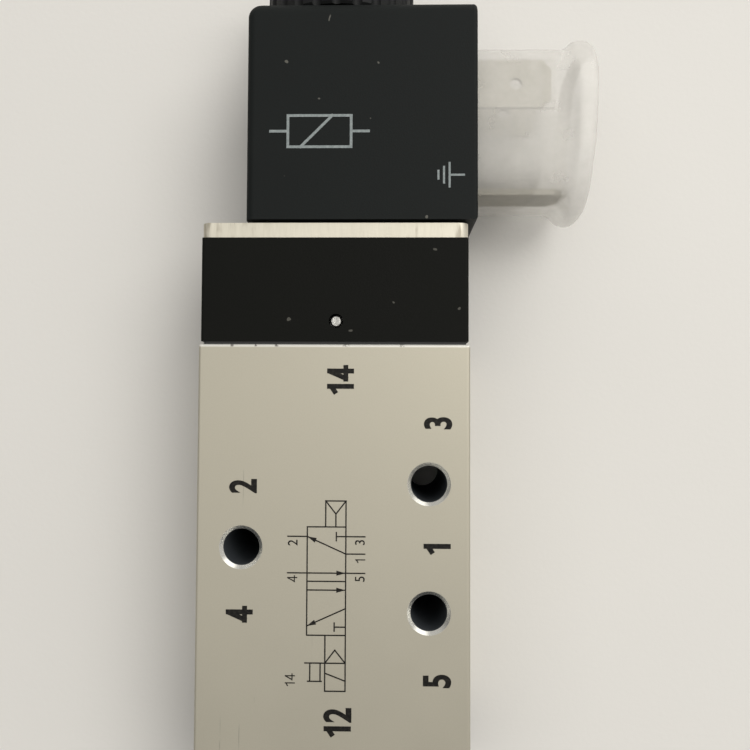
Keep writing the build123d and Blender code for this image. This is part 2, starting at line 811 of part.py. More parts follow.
for name, height in override_seal_places.items():
    with BuildPart() as override_seal:
        with BuildSketch(Plane.XZ.offset(-override_y)):
            with Locations((override_x + pin_outer - override_seal_section / 2, height)):
                Circle(override_seal_section / 2)
        revolve(axis=Axis((override_x, override_y, 0), (0, 0, 1)))
    override_seal.part.label = f"override_{name}_seal"
    export_step(override_seal.part, f"parts/override_{name}_seal.step")

override_spring_low = override_plug_high + 0.02
override_spring_length = pin_shoulder_low - 0.02 - override_spring_low
override_spring_mid = override_bore_radius - 0.12 - override_spring_wire / 2
with BuildPart() as override_spring:
    with BuildLine():
        override_line = Helix(
            pitch=(override_spring_length - override_spring_wire) / spring_turns,
            height=override_spring_length - override_spring_wire,
            radius=override_spring_mid,
            center=(override_x, override_y, override_spring_low + override_spring_wire / 2),
        )
    with BuildSketch(Plane(origin=override_line @ 0, z_dir=override_line % 0)):
        Circle(override_spring_wire / 2)
    sweep(path=override_line, is_frenet=True)
override_spring.part.label = "override_spring"
export_step(override_spring.part, "parts/override_spring.step")

with BuildPart() as override_plug:
    with BuildSketch(Plane.XY.offset(override_plug_low)):
        with Locations((override_x, override_y)):
            Circle(override_bore_radius - 0.01)
    extrude(amount=override_plug_length)
    with BuildSketch(Plane.XY.offset(override_plug_low)):
        with Locations((override_x, override_y)):
            Rectangle(2 * override_bore_radius, 0.5)
    extrude(amount=0.6, mode=Mode.SUBTRACT)
override_plug.part.label = "override_plug"
export_step(override_plug.part, "parts/override_plug.step")

# Rubber ring between the clamp plate and the coil.
with BuildPart() as coil_base_seal:
    with BuildSketch(across(plate_top)):
        Circle(tube_radius + 2.6)
        Circle(tube_radius + swivel_gap, mode=Mode.SUBTRACT)
    extrude(amount=coil_base_gap - seat_gap)
coil_base_seal.part.label = "coil_base_seal"
export_step(coil_base_seal.part, "parts/coil_base_seal.step")

# Coil: steel yoke, bobbin, winding and terminals moulded into a black housing.
coil_bore_radius = tube_radius + coil_bore_gap
yoke_left = coil_left + yoke_back_skin
yoke_low = coil_low + coil_skin
yoke_high = coil_high - coil_skin
bobbin_low = yoke_low + yoke_plate_thickness
bobbin_high = yoke_high - yoke_plate_thickness

yoke_outline = [
    (yoke_right, yoke_low),
    (yoke_left, yoke_low),
    (yoke_left, yoke_high),
    (yoke_right, yoke_high),
    (yoke_right, bobbin_high),
    (yoke_left + yoke_back_thickness, bobbin_high),
    (yoke_left + yoke_back_thickness, bobbin_low),
    (yoke_right, bobbin_low),
]
with BuildPart() as coil_yoke:
    with BuildSketch(Plane.XY.offset(axis_height - yoke_width / 2)):
        with BuildLine():
            Polyline(*yoke_outline, close=True)
        make_face()
    extrude(amount=yoke_width)
    with BuildSketch(across(coil_low)):
        Circle(coil_bore_radius)
    extrude(amount=coil_height, mode=Mode.SUBTRACT)
coil_yoke.part.label = "coil_yoke"
export_step(coil_yoke.part, "parts/coil_yoke.step")

bobbin_bore_radius = tube_radius + swivel_gap
with BuildPart() as coil_bobbin:
    with BuildSketch(across(bobbin_low)):
        Circle(bobbin_flange_radius)
    extrude(amount=bobbin_high - bobbin_low)
    with BuildSketch(across(bobbin_low + bobbin_flange_thickness)):
        Circle(bobbin_flange_radius + 1)
        Circle(bobbin_bore_radius + bobbin_wall, mode=Mode.SUBTRACT)
    winding_length = bobbin_high - bobbin_low - 2 * bobbin_flange_thickness
    extrude(amount=winding_length, mode=Mode.SUBTRACT)
    with BuildSketch(across(bobbin_low)):
        Circle(bobbin_bore_radius)
    extrude(amount=bobbin_high - bobbin_low, mode=Mode.SUBTRACT)
coil_bobbin.part.label = "coil_bobbin"
export_step(coil_bobbin.part, "parts/coil_bobbin.step")

with BuildPart() as coil_winding:
    with BuildSketch(across(bobbin_low + bobbin_flange_thickness)):
        Circle(winding_radius)
        Circle(bobbin_bore_radius + bobbin_wall + 0.02, mode=Mode.SUBTRACT)
    extrude(amount=winding_length)
coil_winding.part.label = "coil_winding"
export_step(coil_winding.part, "parts/coil_winding.step")

# Two flat contact blades and the longer earth blade, 11 mm apart across the coil.
blade_root = coil_right - blade_root_depth
blade_tip = coil_right + blade_reach
blade_y = coil_middle + blade_offset
earth_tip = coil_right + earth_reach
earth_y = coil_middle - earth_offset
blade_heights = {
    "terminal_1": axis_height + blade_spacing / 2,
    "terminal_2": axis_height - blade_spacing / 2,
}
for name, height in blade_heights.items():
    with BuildPart() as blade:
        with BuildSketch(Plane.XY.offset(height - blade_thickness / 2)):
            with Locations(((blade_root + blade_tip) / 2, blade_y)):
                Rectangle(blade_tip - blade_root, blade_width)
        extrude(amount=blade_thickness)
        tip_corners = blade.edges().filter_by(Axis.Z).group_by(Axis.X)[-1]
        chamfer(tip_corners, blade_point)
        with BuildSketch(Plane.XY.offset(height - blade_thickness / 2)):
            with Locations((blade_tip - blade_hole_from_tip, blade_y)):
                Circle(blade_hole_radius)
        extrude(amount=blade_thickness, mode=Mode.SUBTRACT)
    blade.part.label = name
    export_step(blade.part, f"parts/{name}.step")

with BuildPart() as terminal_earth:
    with BuildSketch(Plane.XZ.offset(-earth_y - blade_thickness / 2)):
        with Locations(((blade_root + earth_tip) / 2, axis_height)):
            Rectangle(earth_tip - blade_root, blade_width)
    extrude(amount=blade_thickness)
    tip_corners = terminal_earth.edges().filter_by(Axis.Y).group_by(Axis.X)[-1]
    chamfer(tip_corners, blade_point)
    with BuildSketch(Plane.XZ.offset(-earth_y - blade_thickness / 2)):
        with Locations((earth_tip - blade_hole_from_tip, axis_height)):
            Circle(blade_hole_radius)
    extrude(amount=blade_thickness, mode=Mode.SUBTRACT)
terminal_earth.part.label = "terminal_earth"
export_step(terminal_earth.part, "parts/terminal_earth.step")

with BuildPart() as coil_housing:
    with BuildSketch(Plane.XY.offset(coil_back)):
        with Locations(((coil_left + coil_right) / 2, coil_middle)):
            Rectangle(coil_right - coil_left, coil_height)
    extrude(amount=coil_depth)
    left_corners = coil_housing.edges().filter_by(Axis.Y).group_by(Axis.X)[0]
    fillet(left_corners, coil_left_round)
    top_left = coil_housing.faces().sort_by(Axis.Y)[-1].edges().group_by(Axis.X)[0]
    fillet(top_left, coil_top_round)
    front_rims = coil_housing.faces().sort_by(Axis.X)[-1].edges()
    fillet(front_rims, coil_edge_round)
    with BuildSketch(across(coil_low)):
        Circle(coil_bore_radius)
    extrude(amount=coil_height, mode=Mode.SUBTRACT)
    with BuildSketch(across(bobbin_low)):
        Circle(bobbin_flange_radius + 0.02)
    extrude(amount=bobbin_high - bobbin_low, mode=Mode.SUBTRACT)
    with BuildSketch(Plane.XY.offset(axis_height - yoke_width / 2)):
        with BuildLine():
            Polyline(*yoke_outline, close=True)
        make_face()
    extrude(amount=yoke_width, mode=Mode.SUBTRACT)
    slot_middle = (blade_root + coil_right) / 2
    slot_length = coil_right - blade_root
    for height in blade_heights.values():
        with BuildSketch(Plane.XY.offset(height - blade_thickness / 2)):
            with Locations((slot_middle, blade_y)):
                Rectangle(slot_length, blade_width)
        extrude(amount=blade_thickness, mode=Mode.SUBTRACT)
    with BuildSketch(Plane.XZ.offset(-earth_y - blade_thickness / 2)):
        with Locations((slot_middle, axis_height)):
            Rectangle(slot_length, blade_width)
    extrude(amount=blade_thickness, mode=Mode.SUBTRACT)
coil_housing.part.label = "coil_housing"
export_step(coil_housing.part, "parts/coil_housing.step")

# Translucent cap that slides over the terminals; slits in its thick end grip the blade tips.
cap_mouth = coil_right + swivel_gap
cap_end = cap_mouth + cap_length
cap_floor = cap_mouth + cap_cavity_depth
cap_plane = Plane.YZ.offset(cap_mouth)
with BuildPart() as terminal_cap:
    with BuildSketch(cap_plane):
        with Locations((coil_middle, axis_height)):
            RectangleRounded(cap_height, cap_depth, cap_corner)
    extrude(amount=cap_length)
    with BuildSketch(Plane.YZ.offset(cap_end - rim_length)):
        with Locations((coil_middle, axis_height)):
            RectangleRounded(rim_height, rim_depth, rim_corner)
    extrude(amount=rim_length)
    rim_edges = terminal_cap.faces().sort_by(Axis.X)[-1].edges()
    fillet(rim_edges, rim_round)
    with BuildSketch(cap_plane):
        with Locations((coil_middle, axis_height)):
            RectangleRounded(cap_height - 2 * cap_wall, cap_depth - 2 * cap_wall, cap_corner - cap_wall)
    extrude(amount=cap_cavity_depth, mode=Mode.SUBTRACT)
    with BuildSketch(Plane.YZ.offset(cap_end)):
        with Locations((coil_middle, axis_height)):
            RectangleRounded(rim_height - 2 * rim_wall, rim_depth - 2 * rim_wall, rim_corner - rim_wall)
    extrude(amount=-rim_recess_depth, mode=Mode.SUBTRACT)
    slit_gap = 2 * running_gap
    for height in blade_heights.values():
        with BuildSketch(Plane.YZ.offset(cap_floor)):
            with Locations((blade_y, height)):
                Rectangle(blade_width + slit_gap, blade_thickness + slit_gap)
        extrude(amount=blade_tip - cap_floor + 0.5, mode=Mode.SUBTRACT)
    with BuildSketch(Plane.YZ.offset(cap_floor)):
        with Locations((earth_y, axis_height)):
            Rectangle(blade_thickness + slit_gap, blade_width + slit_gap)
    extrude(amount=earth_tip - cap_floor + 0.5, mode=Mode.SUBTRACT)
terminal_cap.part.label = "terminal_cap"
export_step(terminal_cap.part, "parts/terminal_cap.step")

# Ribbed retaining nut with a brass insert; it screws onto the stem and clamps the coil.
nut_well_depth = nut_seal_section + 0.1
insert_low = nut_low + nut_well_depth
insert_high = nut_high - nut_top_thickness - nut_insert_top_gap
nut_insert_length = insert_high - insert_low
with BuildPart() as coil_nut:
    with BuildSketch(across(nut_low)):
        Circle(nut_radius)
    extrude(amount=nut_height)
    nut_rims = coil_nut.edges().filter_by(GeomType.CIRCLE)
    chamfer(nut_rims.sort_by(Axis.Y)[-1], 0.8)
    chamfer(nut_rims.sort_by(Axis.Y)[0], 0.3)
    with BuildSketch(across(nut_low)):
        with PolarLocations(nut_radius + 0.25, nut_rib_count):
            Circle(nut_groove_radius)
    extrude(amount=nut_height - nut_top_thickness, mode=Mode.SUBTRACT)
    with BuildSketch(across(nut_low)):
        Circle(nut_seal_well_radius)
    extrude(amount=nut_well_depth, mode=Mode.SUBTRACT)
    with BuildSketch(across(insert_low)):
        Circle(nut_insert_radius + 0.01)
    extrude(amount=nut_insert_length, mode=Mode.SUBTRACT)
    with BuildSketch(across(insert_high)):
        Circle(stem_radius + 0.9)
    extrude(amount=nut_high - nut_top_thickness - insert_high, mode=Mode.SUBTRACT)
    with BuildSketch(across(nut_high - nut_top_thickness)):
        Circle(nut_vent_radius)
    extrude(amount=nut_top_thickness, mode=Mode.SUBTRACT)
coil_nut.part.label = "coil_nut"
export_step(coil_nut.part, "parts/coil_nut.step")

with BuildPart() as nut_insert:
    with BuildSketch(across(insert_low)):
        Circle(nut_insert_radius)
        Circle(stem_radius + running_gap, mode=Mode.SUBTRACT)
    extrude(amount=nut_insert_length)
nut_insert.part.label = "nut_insert"
export_step(nut_insert.part, "parts/nut_insert.step")

with BuildPart() as nut_seal:
    with BuildSketch(Plane.XY.offset(axis_height)):
        with Locations((nut_seal_mid_radius, nut_low + nut_seal_section / 2)):
            Circle(nut_seal_section / 2)
    revolve(axis=spool_axis)
nut_seal.part.label = "nut_seal"
export_step(nut_seal.part, "parts/nut_seal.step")
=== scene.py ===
"""A solenoid directional valve lying on its back on a pale table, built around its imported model."""

from math import atan2, copysign, cos, pi, radians, sin

import bpy
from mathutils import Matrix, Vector


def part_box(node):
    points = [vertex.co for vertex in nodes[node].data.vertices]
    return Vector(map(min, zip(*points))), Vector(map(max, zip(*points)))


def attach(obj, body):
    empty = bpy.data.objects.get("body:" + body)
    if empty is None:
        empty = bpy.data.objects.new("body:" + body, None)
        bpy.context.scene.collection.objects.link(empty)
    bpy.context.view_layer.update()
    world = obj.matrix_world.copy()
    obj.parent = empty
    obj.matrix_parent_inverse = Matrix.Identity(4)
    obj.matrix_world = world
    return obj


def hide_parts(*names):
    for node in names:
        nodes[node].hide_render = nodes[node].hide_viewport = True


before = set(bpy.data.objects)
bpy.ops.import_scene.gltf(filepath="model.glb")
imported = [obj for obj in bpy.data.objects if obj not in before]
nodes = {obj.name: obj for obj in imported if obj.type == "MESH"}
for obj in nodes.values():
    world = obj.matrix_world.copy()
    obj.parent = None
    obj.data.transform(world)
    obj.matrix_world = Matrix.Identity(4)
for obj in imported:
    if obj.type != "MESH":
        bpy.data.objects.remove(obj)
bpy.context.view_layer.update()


# ---------------------------------------------------------------- camera
# It looks almost straight down on the front face, from a hand's height,
# a little nearer the coil than the middle of the body.
MM = 0.001
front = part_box("valve_body")[1].z
bpy.ops.object.camera_add(
    location=(7.21 * MM, 17.56 * MM, front + 97.7 * MM),
    rotation=(radians(2.262), radians(1.203), radians(0.248)),
)
camera = bpy.context.object
camera.data.sensor_width = 36.0
camera.data.lens = 37.7
camera.data.clip_start = 0.005
bpy.context.scene.camera = camera
bpy.context.scene.view_settings.view_transform = "Standard"


# ---------------------------------------------------------------- table
# A plain pale table top with a faint grain, and soft light from a large
# window high on the right and a weaker one on the left.
class Shade:
    """A shader value. Sums and products add Math nodes, and node() adds any other node."""

    def __init__(self, tree, socket=None):
        self.tree = tree
        self.socket = socket

    def node(self, kind, settings=(), inputs=(), output=0):
        made = self.tree.nodes.new("ShaderNode" + kind)
        for name, value in dict(settings).items():
            setattr(made, name, value)
        for name, value in dict(inputs).items():
            if isinstance(value, Shade):
                self.tree.links.new(value.socket, made.inputs[name])
            else:
                made.inputs[name].default_value = value
        return Shade(self.tree, made.outputs[output])

    def maths(self, operation, first, second=0.0):
        return self.node("Math", {"operation": operation}, {0: first, 1: second})

    def __add__(self, other):
        return self.maths("ADD", self, other)

    __radd__ = __add__

    def __mul__(self, other):
        return self.maths("MULTIPLY", self, other)

    __rmul__ = __mul__

    def __sub__(self, other):
        return self.maths("SUBTRACT", self, other)

    def __rsub__(self, other):
        return self.maths("SUBTRACT", other, self)

    def root(self):
        return self.maths("SQRT", self)

    def rise(self, low, high):
        """0 below low, 1 above high, and a smooth step between."""
        return self.node("MapRange", {"interpolation_type": "SMOOTHSTEP"}, {0: self, 1: low, 2: high})

    def blend(self, low, high):
        """A colour that goes from low to high as this value goes from 0 to 1."""
        return self.node("Mix", {"data_type": "RGBA"}, {0: self, 6: low, 7: high}, 2)

    def into(self, socket):
        self.tree.links.new(self.socket, socket)


def noise(place, size, detail=2.0, stretch=(1, 1, 1), turn=(0, 0, 0), roughness=0.5):
    """Cloudy value whose features are about size millimetres across."""
    turned = place.node("Mapping", {}, {"Vector": place, "Rotation": turn, "Scale": stretch})
    inputs = {"Vector": turned, "Scale": 1 / (size * MM), "Detail": detail, "Roughness": roughness}
    return place.node("TexNoise", {}, inputs)


def new_finish(name, **steady):
    """A material, its shader, and its place in object coordinates."""
    material = bpy.data.materials.new(name)
    material.use_nodes = True
    shader = material.node_tree.nodes["Principled BSDF"]
    for socket, value in steady.items():
        shader.inputs[socket.replace("_", " ")].default_value = value
    place = Shade(material.node_tree).node("TexCoord", output="Object")
    return material, shader, place


def bump(height, shader, depth, strength=1.0):
    """Raise the surface by height times depth millimetres."""
    inputs = {"Height": height, "Distance": depth * MM, "Strength": strength}
    height.node("Bump", {}, inputs).into(shader.inputs["Normal"])


def colour(red, green, blue):
    return (red, green, blue, 1.0)


def table_finish():
    material, shader, place = new_finish("pale_table", Roughness=0.7)
    cloud = noise(place, 60, 3.0)
    cloud.blend(colour(0.725, 0.707, 0.673), colour(0.750, 0.732, 0.698)).into(shader.inputs["Base Color"])
    bump(noise(place, 0.8), shader, 0.02)
    return material


bpy.ops.mesh.primitive_plane_add(size=2.4)
table = bpy.context.object
table.name = "table_top"
table.data.materials.append(table_finish())

world = bpy.data.worlds.new("room")
world.use_nodes = True
background = world.node_tree.nodes["Background"]
background.inputs["Color"].default_value = colour(1.0, 0.985, 0.955)
sky = Shade(world.node_tree).node("TexCoord", output="Generated")
lean = sky.node("VectorMath", {"operation": "DOT_PRODUCT"}, {0: sky, 1: (0.50, 0.80, 0.30)}, "Value")
(0.21 + 0.37 * lean.rise(-0.35, 0.55) + 1.3 * lean.rise(0.85, 0.98)).into(background.inputs["Strength"])
bpy.context.scene.world = world

for name, place, size, power in (
    ("window", (0.34, 0.26, 0.70), 0.5, 3.45),
    ("ceiling", (-0.30, 0.05, 0.80), 0.7, 1.15),
):
    bpy.ops.object.light_add(type="AREA", location=place)
    lamp = bpy.context.object
    lamp.name = name
    lamp.rotation_euler = Vector(place).to_track_quat("Z", "Y").to_euler()
    lamp.data.size = size
    lamp.data.energy = power
    lamp.data.color = (1.0, 0.985, 0.95)


# ---------------------------------------------------------------- valve body
# Aluminium block, blasted and silver anodised. It has fine nicks along the
# edge under the pilot housing and faint rub marks on its left half. The walls of
# the three mounting holes carry painted shade, and the holes have bright cut chamfers.
mounting_hole_radius = 2.25 * MM
mounting_hole_chamfer = 0.45 * MM
mounting_holes = [(-11.4 * MM, 0.0), (11.9 * MM, 7.9 * MM), (11.9 * MM, -7.9 * MM)]
nick_places = [(-12.8, 0.5), (-9.8, 0.4), (-7.2, 0.6), (1.5, 1.0), (8.5, 0.7)]


def dress(material, *names):
    """Give CAD nodes their finish."""
    for name in names:
        nodes[name].data.materials.clear()
        nodes[name].data.materials.append(material)


def anodised_finish():
    low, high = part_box("valve_body")
    material, shader, place = new_finish("anodised_body")
    across = place.node("SeparateXYZ", {}, {0: place}, 0)
    along = place.node("SeparateXYZ", {}, {0: place}, 1)
    grain = noise(place, 0.22, 3.0, roughness=0.7)
    cloud = noise(place, 9.0, 4.0)
    tone = 0.35 * cloud + 0.5 * grain
    anodised = tone.blend(colour(0.420, 0.392, 0.318), colour(0.500, 0.470, 0.385))
    rubs = noise(place, 0.7, 2.0, (1, 0.05, 1), (0, 0, radians(24))).rise(0.68, 0.73)
    rubs = rubs * (1 - across.rise(-14 * MM, 0)) * noise(place, 5.0).rise(0.55, 0.65)
    rubbed = rubs.blend(anodised, colour(0.30, 0.285, 0.235))
    edge = along.rise(high.y - 0.45 * MM, high.y - 0.2 * MM)
    nicks = 0
    for nick_x, reach in nick_places:
        offset = across - nick_x * MM
        nicks = nicks + (1 - (offset * offset).root().rise(0.1 * reach * MM, 0.6 * reach * MM))
    nicks = nicks * edge * noise(place, 0.35).rise(0.35, 0.55)
    bright_edge = edge.blend(rubbed, colour(0.72, 0.71, 0.66))
    nicked = nicks.blend(bright_edge, colour(0.20, 0.19, 0.17))
    # Painted shade: inside the mounting holes the walls are coloured near black, and made less metallic and
    # rougher.
    bore_shade, openings = 0, 0
    for hole_x, hole_y in mounting_holes:
        offset_x = across - hole_x
        offset_y = along - hole_y
        distance = (offset_x * offset_x + offset_y * offset_y).root()
        bore_shade = bore_shade + (1 - distance.rise(mounting_hole_radius, mounting_hole_radius + 0.05 * MM))
        outer = mounting_hole_radius + mounting_hole_chamfer
        openings = openings + (1 - distance.rise(outer - 0.03 * MM, outer + 0.01 * MM))
    chamfered = openings.blend(nicked, colour(0.74, 0.73, 0.68))
    # The bores get their near-black painted shade here.
    bore_shade.blend(chamfered, colour(0.045, 0.052, 0.060)).into(shader.inputs["Base Color"])
    chamfers = openings - bore_shade
    (0.55 + 0.40 * chamfers - 0.45 * bore_shade).into(shader.inputs["Metallic"])
    (0.44 + 0.12 * cloud - 0.26 * chamfers + 0.2 * bore_shade).into(shader.inputs["Roughness"])
    bump(grain * 0.6 - nicks * 1.5 - rubs * 0.4, shader, 0.012)
    return material


dress(anodised_finish(), "valve_body")


# ---------------------------------------------------------------- port threads
# Pipe thread cut in each of the five ports. It is a helical ridge on the
# port's wall, of bright cut aluminium, and starts below the chamfer.
thread_pitch = 0.907 * MM
thread_turns = 7
thread_depth = 0.75 * MM
ridge_radius = 0.40 * MM
ridge_sink = 0.16 * MM
port_radius = 4.85 * MM
port_pitch = 7.9 * MM
axis_height = (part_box("valve_body")[0].z + front) / 2
port_faces = {"3": (1, 2), "2": (-1, 1), "1": (1, 0), "4": (-1, -1), "5": (1, -2)}


def cut_metal_finish():
    """Freshly cut aluminium: bright, with turning lines."""
    material, shader, place = new_finish("cut_thread", Metallic=0.9)
    lines = noise(place, 0.12)
    lines.blend(colour(0.48, 0.46, 0.41), colour(0.66, 0.64, 0.58)).into(shader.inputs["Base Color"])
    (0.28 + 0.2 * lines).into(shader.inputs["Roughness"])
    bump(lines, shader, 0.01)
    return material


cut_metal = cut_metal_finish()
for port, (side, steps) in port_faces.items():
    face_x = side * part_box("valve_body")[1].x
    bpy.ops.object.select_all(action="DESELECT")
    bpy.ops.mesh.primitive_circle_add(
        vertices=3,
        radius=ridge_radius,
        location=(port_radius - ridge_sink, 0, 0),
        rotation=(pi / 2, pi / 2, 0),
    )
    thread = bpy.context.object
    thread.name = f"port_{port}_thread"
    bpy.ops.object.transform_apply(location=True, rotation=True, scale=True)
    screw = thread.modifiers.new("thread", "SCREW")
    screw.screw_offset = thread_pitch
    screw.iterations = thread_turns
    screw.steps = 40
    screw.render_steps = 40
    bpy.ops.object.modifier_apply(modifier="thread")
    bpy.ops.object.mode_set(mode="EDIT")
    bpy.ops.mesh.select_all(action="SELECT")
    bpy.ops.mesh.remove_doubles(threshold=0.001 * MM)
    bpy.ops.mesh.select_all(action="DESELECT")
    bpy.ops.mesh.select_mode(type="EDGE")
    bpy.ops.mesh.select_non_manifold()
    bpy.ops.mesh.edge_face_add()
    bpy.ops.mesh.select_all(action="SELECT")
    bpy.ops.mesh.normals_make_consistent(inside=False)
    bpy.ops.object.mode_set(mode="OBJECT")
    thread.rotation_euler = (0, -side * pi / 2, 0)
    thread.location = (face_x - side * thread_depth, steps * port_pitch, axis_height)
    bpy.ops.object.transform_apply(location=True, rotation=True, scale=True)
    thread.data.materials.append(cut_metal)
    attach(thread, "valve")


# ---------------------------------------------------------------- printing on the front face
# Port numbers and the valve's circuit symbol, pad printed in black ink.
# They read along the body, towards the coil.
ink_gap = 0.012 * MM
ink_thickness = 0.012 * MM
ink_step = 0.0005 * MM
capital_height = 0.729


def ink_finish(name, low, high):
    """Pad-printed ink: not quite even, with a fine broken edge."""
    material, shader, place = new_finish(name, Roughness=0.5, Specular_IOR_Level=0.15)
    film = noise(place, 0.35, 4.0)
    film.rise(0.35, 0.75).blend(low, high).into(shader.inputs["Base Color"])
    bump(film, shader, 0.006)
    return material


def print_text(words, middle, height, bold, squeeze):
    """Printed characters as a thin mesh, centred on middle, reading towards +Y."""
    bpy.ops.object.select_all(action="DESELECT")
    bpy.ops.object.text_add()
    text = bpy.context.object
    text.data.body = words
    text.data.size = height / capital_height
    text.data.offset = bold
    text.data.align_x = "CENTER"
    text.data.extrude = ink_thickness / 2
    bpy.ops.object.convert(target="MESH")
    text = bpy.context.object
    corners = [vertex.co for vertex in text.data.vertices]
    centre_x = (min(c.x for c in corners) + max(c.x for c in corners)) / 2
    centre_y = (min(c.y for c in corners) + max(c.y for c in corners)) / 2
    text.scale = (squeeze, 1, 1)
    text.rotation_euler = (0, 0, pi / 2)
    text.location = Vector(middle) + Vector((centre_y, -centre_x * squeeze, 0))
    bpy.ops.object.transform_apply(location=True, rotation=True, scale=True)
    return text


def print_line(start, end, width, height):
    """A straight printed stroke between two points, as a thin slab."""
    start, end = Vector(start), Vector(end)
    run = end - start
    bpy.ops.object.select_all(action="DESELECT")
    bpy.ops.mesh.primitive_cube_add(
        size=1,
        location=(*((start + end) / 2), height),
        rotation=(0, 0, atan2(run.y, run.x)),
        scale=(run.length + width, width, ink_thickness),
    )
    bpy.ops.object.transform_apply(location=True, rotation=True, scale=True)
    return bpy.context.object


def print_arrow(tip, tail, length, width, height):
    """A solid arrow head with its point at tip, on a stroke that comes from tail."""
    tip, tail = Vector(tip), Vector(tail)
    run = (tip - tail).normalized()
    bpy.ops.object.select_all(action="DESELECT")
    bpy.ops.mesh.primitive_cylinder_add(
        vertices=3,
        radius=1,
        depth=1,
        location=(*(tip - run * length * 2 / 3), height),
        rotation=(0, 0, atan2(run.y, run.x) - pi / 2),
        scale=(width / 3**0.5, length / 1.5, ink_thickness),
    )
    bpy.ops.object.transform_apply(location=True, rotation=True, scale=True)
    return bpy.context.object


def print_number(digits, middle, height, weight, squeeze):
    """Printed digits side by side, reading towards +Y. Each 1 and 4 is made of straight strokes."""
    straight = {
        "1": [((0.14, -0.5), (0.14, 0.5)), ((-0.16, 0.26), (0.10, 0.40))],
        "4": [((0.13, -0.5), (0.13, 0.5)), ((-0.34, -0.24), (0.34, -0.24)), ((0.09, 0.46), (-0.29, -0.22))],
    }
    prints = []
    for place, digit in enumerate(digits):
        along = middle[1] + (place - (len(digits) - 1) / 2) * 0.74 * squeeze * height
        if digit not in straight:
            bold = weight * 0.48 - height * 0.045
            prints.append(print_text(digit, (middle[0], along, ink_height), height, bold, squeeze))
            continue
        run = height - weight
        for layer, (start, end) in enumerate(straight[digit]):
            start, end = ((middle[0] - y * run, along + x * squeeze * run) for x, y in (start, end))
            prints.append(print_line(start, end, weight, ink_height + layer * ink_step))
    return prints


def join_print(name, prints, material, body):
    """Join printed strokes and characters into one piece that rides on a body."""
    bpy.ops.object.select_all(action="DESELECT")
    for stroke in prints:
        stroke.select_set(True)
    bpy.context.view_layer.objects.active = prints[0]
    bpy.ops.object.join()
    piece = bpy.context.object
    piece.name = name
    piece.data.materials.clear()
    piece.data.materials.append(material)
    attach(piece, body)
    return piece


black_ink = ink_finish("black_print", colour(0.006, 0.0055, 0.005), colour(0.020, 0.018, 0.015))
ink_height = front + ink_gap + ink_thickness / 2
big_numbers = {
    "14": (0.85, 20.65),
    "12": (0.7, -21.3),
    "3": (13.0, 15.45),
    "1": (12.9, 0.0),
    "5": (12.9, -16.1),
    "2": (-11.2, 7.55),
    "4": (-11.5, -8.2),
}
numbers = []
for digits, (x, y) in big_numbers.items():
    numbers += print_number(digits, (x * MM, y * MM), 3.35 * MM, 0.61 * MM, 0.78)
join_print("port_numbers", numbers, black_ink, "valve")

stroke = 0.16 * MM
left, right = -3.15, 1.63
symbol_top, symbol_bottom = 2.58, -10.67
divider = (symbol_top + symbol_bottom) / 2 - 0.05
inner = -0.88
air_top = 5.78
pilot_low = -14.05
coil_low = -17.44
port_in = -5.55
port_out = 3.98
row_23, row_1, row_45 = 1.40, -0.73, -3.08
row_a, row_b, row_c, row_d = -5.16, -7.40, -9.55, -9.66
symbol_lines = [
    ((left, symbol_top), (right, symbol_top)),
    ((left, symbol_bottom), (right, symbol_bottom)),
    ((left, symbol_top), (left, symbol_bottom)),
    ((right, air_top), (right, coil_low)),
    ((left, divider), (right, divider)),
    ((inner, symbol_top), (inner, air_top)),
    ((inner, air_top), (right, air_top)),
    ((inner, air_top), (0.38, 4.17)),
    ((right, air_top), (0.38, 4.17)),
    ((0.38, 4.17), (0.38, symbol_top)),
    ((port_in, row_23), (left, row_23)),
    ((0.45, row_23), (port_out, row_23)),
    ((0.45, row_23 - 0.5), (0.45, row_23 + 0.5)),
    ((right, row_1), (port_out, row_1)),
    ((right, row_1), (left, row_23)),
    ((port_in, row_45), (port_out, row_45)),
    ((left, row_a), (right, row_a)),
    ((right, row_b), (left, row_c)),
    ((0.25, row_d), (right, row_d)),
    ((0.25, row_d - 0.5), (0.25, row_d + 0.5)),
    ((inner, symbol_bottom), (inner, coil_low)),
    ((inner, coil_low), (right, coil_low)),
    ((-3.34, pilot_low), (right, pilot_low)),
    ((inner, pilot_low), (0.34, -12.46)),
    ((right, pilot_low), (0.34, -12.46)),
    ((inner, -15.26), (right, -16.21)),
    ((-2.72, pilot_low), (-2.72, -16.26)),
    ((-1.45, pilot_low), (-1.45, -16.26)),
    ((-2.98, -16.26), (-1.30, -16.26)),
]
symbol_arrows = [
    ((left, row_23), (right, row_1)),
    ((right, row_45), (left, row_45)),
    ((right, row_a), (left, row_a)),
    ((left, row_c), (right, row_b)),
]
small_numbers = {
    "2": (-4.95, 0.62),
    "3": (3.37, 0.70),
    "1": (3.42, -1.58),
    "4": (-4.98, -3.80),
    "5": (3.38, -3.78),
    "14": (-5.17, -16.2),
}
symbol = [
    print_line([v * MM for v in start], [v * MM for v in end], stroke, ink_height + layer * ink_step)
    for layer, (start, end) in enumerate(symbol_lines)
]
symbol += [
    print_arrow([v * MM for v in tip], [v * MM for v in tail], 1.15 * MM, 0.62 * MM, ink_height - ink_step)
    for tip, tail in symbol_arrows
]
for digits, (x, y) in small_numbers.items():
    symbol += print_number(digits, (x * MM, y * MM), 1.25 * MM, 0.13 * MM, 0.95)
join_print("circuit_symbol", symbol, black_ink, "valve")


